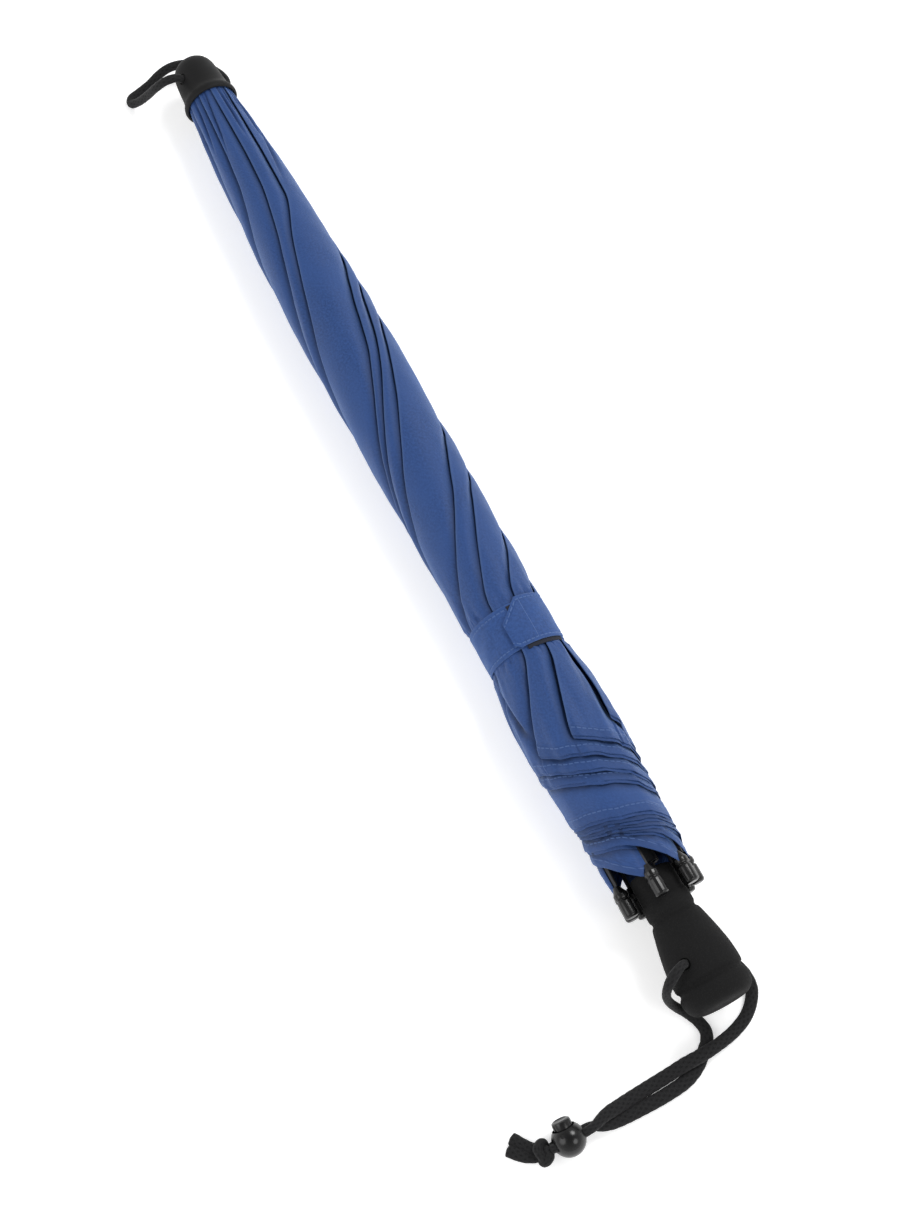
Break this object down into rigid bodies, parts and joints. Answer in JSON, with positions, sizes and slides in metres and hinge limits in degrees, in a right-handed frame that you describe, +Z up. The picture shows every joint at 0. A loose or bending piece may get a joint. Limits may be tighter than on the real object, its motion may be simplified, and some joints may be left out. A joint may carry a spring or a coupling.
{
  "type": "stick umbrella",
  "caption": "Furled hiking stick umbrella: folded fabric gores held by a strap, ribs under a bell cap with a loop, a foam handle, and a wrist cord with a ball lock.",
  "frame": {"origin": "on the ground under the middle of the shaft's length, as the furled umbrella lies on its side", "axes": "+X up the shaft from the handle to the cap, +Z up from the ground, +Y across, towards the side where the cords lie"},
  "size_m": [0.679, 0.1515, 0.0485],
  "materials": {
    "canopy_fabric": "coated polyester pongee, satin",
    "strap_webbing": "doubled canopy fabric, edge stitched",
    "hook_tape": "hook tape, matt",
    "cord": "braided polyester cord, matt",
    "foam": "closed-cell EVA foam, matt, finely pored",
    "cap_rubber": "moulded rubber, matt",
    "gloss_plastic": "moulded plastic, glossy",
    "nylon": "moulded nylon, satin",
    "shaft_fibre": "glass fibre rod, satin",
    "steel": "spring steel, plain"
  },
  "bodies": {
    "frame": {"shaft": "shaft_fibre", "top_notch": "nylon", "notch_wire": "steel", "notch_pin": "steel", "bell_cap": "cap_rubber", "cap_loop_cord": "cord", "handle_grip": "foam", "handle_core": "nylon", "wrist_cord_left": "cord", "wrist_cord_right": "cord", "cord_knot": "cord"},
    "runner": {"runner": "nylon"},
    "rib_1": {"rib_1": "shaft_fibre", "rib_tip_1": "gloss_plastic", "rib_joiner_1": "nylon", "gore_1": "canopy_fabric"},
    "rib_2": {"rib_2": "shaft_fibre", "rib_tip_2": "gloss_plastic", "rib_joiner_2": "nylon", "gore_2": "canopy_fabric", "strap_band": "strap_webbing"},
    "rib_3": {"rib_3": "shaft_fibre", "rib_tip_3": "gloss_plastic", "rib_joiner_3": "nylon", "gore_3": "canopy_fabric"},
    "rib_4": {"rib_4": "shaft_fibre", "rib_tip_4": "gloss_plastic", "rib_joiner_4": "nylon", "gore_4": "canopy_fabric"},
    "rib_5": {"rib_5": "shaft_fibre", "rib_tip_5": "gloss_plastic", "rib_joiner_5": "nylon", "gore_5": "canopy_fabric"},
    "rib_6": {"rib_6": "shaft_fibre", "rib_tip_6": "gloss_plastic", "rib_joiner_6": "nylon", "gore_6": "canopy_fabric"},
    "rib_7": {"rib_7": "shaft_fibre", "rib_tip_7": "gloss_plastic", "rib_joiner_7": "nylon", "gore_7": "canopy_fabric"},
    "rib_8": {"rib_8": "shaft_fibre", "rib_tip_8": "gloss_plastic", "rib_joiner_8": "nylon", "gore_8": "canopy_fabric"},
    "stretcher_1": {"stretcher_1": "steel"},
    "stretcher_2": {"stretcher_2": "steel"},
    "stretcher_3": {"stretcher_3": "steel"},
    "stretcher_4": {"stretcher_4": "steel"},
    "stretcher_5": {"stretcher_5": "steel"},
    "stretcher_6": {"stretcher_6": "steel"},
    "stretcher_7": {"stretcher_7": "steel"},
    "stretcher_8": {"stretcher_8": "steel"},
    "strap_tab": {"strap_tab": "strap_webbing", "strap_hook_patch": "hook_tape"},
    "cord_lock": {"cord_lock_ball": "gloss_plastic", "cord_lock_spring": "steel"},
    "cord_lock_plunger": {"cord_lock_plunger": "gloss_plastic"},
    "lower_catch": {"lower_catch": "steel"},
    "upper_catch": {"upper_catch": "steel"}
  },
  "joints": [
    {"name": "runner_slide", "type": "slide", "parent": "frame", "child": "runner", "axis": [1, 0, 0], "range_m": [0, 0.4049], "deforming": ["strap_band"]},
    {"name": "rib_1_hinge", "type": "hinge", "parent": "frame", "child": "rib_1", "pos_m": [0.279, -0.00898, 0.02303], "axis": [0, 0.0698, 0.9976], "range_deg": [0, 80]},
    {"name": "rib_2_hinge", "type": "hinge", "parent": "frame", "child": "rib_2", "pos_m": [0.279, -0.0059, 0.02919], "axis": [0, 0.7547, 0.6561], "range_deg": [0, 80]},
    {"name": "rib_3_hinge", "type": "hinge", "parent": "frame", "child": "rib_3", "pos_m": [0.279, 0.00063, 0.03138], "axis": [0, 0.9976, -0.0698], "range_deg": [0, 80]},
    {"name": "rib_4_hinge", "type": "hinge", "parent": "frame", "child": "rib_4", "pos_m": [0.279, 0.00679, 0.02831], "axis": [0, 0.6561, -0.7547], "range_deg": [0, 80]},
    {"name": "rib_5_hinge", "type": "hinge", "parent": "frame", "child": "rib_5", "pos_m": [0.279, 0.00898, 0.02177], "axis": [0, -0.0698, -0.9976], "range_deg": [0, 80]},
    {"name": "rib_6_hinge", "type": "hinge", "parent": "frame", "child": "rib_6", "pos_m": [0.279, 0.0059, 0.01561], "axis": [0, -0.7547, -0.6561], "range_deg": [0, 80]},
    {"name": "rib_7_hinge", "type": "hinge", "parent": "frame", "child": "rib_7", "pos_m": [0.279, -0.00063, 0.01342], "axis": [0, -0.9976, 0.0698], "range_deg": [0, 80]},
    {"name": "rib_8_hinge", "type": "hinge", "parent": "frame", "child": "rib_8", "pos_m": [0.279, -0.00679, 0.01649], "axis": [0, -0.6561, 0.7547], "range_deg": [0, 80]},
    {"name": "stretcher_1_hinge", "type": "hinge", "parent": "rib_1", "child": "stretcher_1", "pos_m": [0.034, -0.00898, 0.02303], "axis": [0, 0.0698, 0.9976], "range_deg": [-160, 0]},
    {"name": "stretcher_2_hinge", "type": "hinge", "parent": "rib_2", "child": "stretcher_2", "pos_m": [0.034, -0.0059, 0.02919], "axis": [0, 0.7547, 0.6561], "range_deg": [-160, 0]},
    {"name": "stretcher_3_hinge", "type": "hinge", "parent": "rib_3", "child": "stretcher_3", "pos_m": [0.034, 0.00063, 0.03138], "axis": [0, 0.9976, -0.0698], "range_deg": [-160, 0]},
    {"name": "stretcher_4_hinge", "type": "hinge", "parent": "rib_4", "child": "stretcher_4", "pos_m": [0.034, 0.00679, 0.02831], "axis": [0, 0.6561, -0.7547], "range_deg": [-160, 0]},
    {"name": "stretcher_5_hinge", "type": "hinge", "parent": "rib_5", "child": "stretcher_5", "pos_m": [0.034, 0.00898, 0.02177], "axis": [0, -0.0698, -0.9976], "range_deg": [-160, 0]},
    {"name": "stretcher_6_hinge", "type": "hinge", "parent": "rib_6", "child": "stretcher_6", "pos_m": [0.034, 0.0059, 0.01561], "axis": [0, -0.7547, -0.6561], "range_deg": [-160, 0]},
    {"name": "stretcher_7_hinge", "type": "hinge", "parent": "rib_7", "child": "stretcher_7", "pos_m": [0.034, -0.00063, 0.01342], "axis": [0, -0.9976, 0.0698], "range_deg": [-160, 0]},
    {"name": "stretcher_8_hinge", "type": "hinge", "parent": "rib_8", "child": "stretcher_8", "pos_m": [0.034, -0.00679, 0.01649], "axis": [0, -0.6561, 0.7547], "range_deg": [-160, 0]},
    {"name": "strap_peel", "type": "hinge", "parent": "rib_2", "child": "strap_tab", "pos_m": [-0.103, -0.02009, 0.03308], "axis": [1, 0, 0], "range_deg": [0, 100]},
    {"name": "cord_lock_slide", "type": "slide", "parent": "frame", "child": "cord_lock", "axis": [0, -1, 0], "range_m": [0, 0.045], "deforming": ["wrist_cord_left", "wrist_cord_right"]},
    {"name": "cord_lock_press", "type": "slide", "parent": "cord_lock", "child": "cord_lock_plunger", "axis": [-0.9397, 0, -0.342], "range_m": [0, 0.002], "stiffness_N_per_m": 500, "springref_m": -0.003, "deforming": ["wrist_cord_left", "wrist_cord_right", "cord_lock_spring"]},
    {"name": "lower_catch_press", "type": "slide", "parent": "frame", "child": "lower_catch", "axis": [0, 0.8949, -0.4462], "range_m": [0, 0.0015], "stiffness_N_per_m": 400, "springref_m": -0.002},
    {"name": "upper_catch_press", "type": "slide", "parent": "frame", "child": "upper_catch", "axis": [0, 0.8949, -0.4462], "range_m": [0, 0.0015], "stiffness_N_per_m": 400, "springref_m": -0.002}
  ],
  "couplings": [
    {"joint": "rib_1_hinge", "follows": "runner_slide", "rad_per_m": 3.448},
    {"joint": "rib_2_hinge", "follows": "runner_slide", "rad_per_m": 3.448},
    {"joint": "rib_3_hinge", "follows": "runner_slide", "rad_per_m": 3.448},
    {"joint": "rib_4_hinge", "follows": "runner_slide", "rad_per_m": 3.448},
    {"joint": "rib_5_hinge", "follows": "runner_slide", "rad_per_m": 3.448},
    {"joint": "rib_6_hinge", "follows": "runner_slide", "rad_per_m": 3.448},
    {"joint": "rib_7_hinge", "follows": "runner_slide", "rad_per_m": 3.448},
    {"joint": "rib_8_hinge", "follows": "runner_slide", "rad_per_m": 3.448},
    {"joint": "stretcher_1_hinge", "follows": "runner_slide", "rad_per_m": -6.896},
    {"joint": "stretcher_2_hinge", "follows": "runner_slide", "rad_per_m": -6.896},
    {"joint": "stretcher_3_hinge", "follows": "runner_slide", "rad_per_m": -6.896},
    {"joint": "stretcher_4_hinge", "follows": "runner_slide", "rad_per_m": -6.896},
    {"joint": "stretcher_5_hinge", "follows": "runner_slide", "rad_per_m": -6.896},
    {"joint": "stretcher_6_hinge", "follows": "runner_slide", "rad_per_m": -6.896},
    {"joint": "stretcher_7_hinge", "follows": "runner_slide", "rad_per_m": -6.896},
    {"joint": "stretcher_8_hinge", "follows": "runner_slide", "rad_per_m": -6.896}
  ]
}
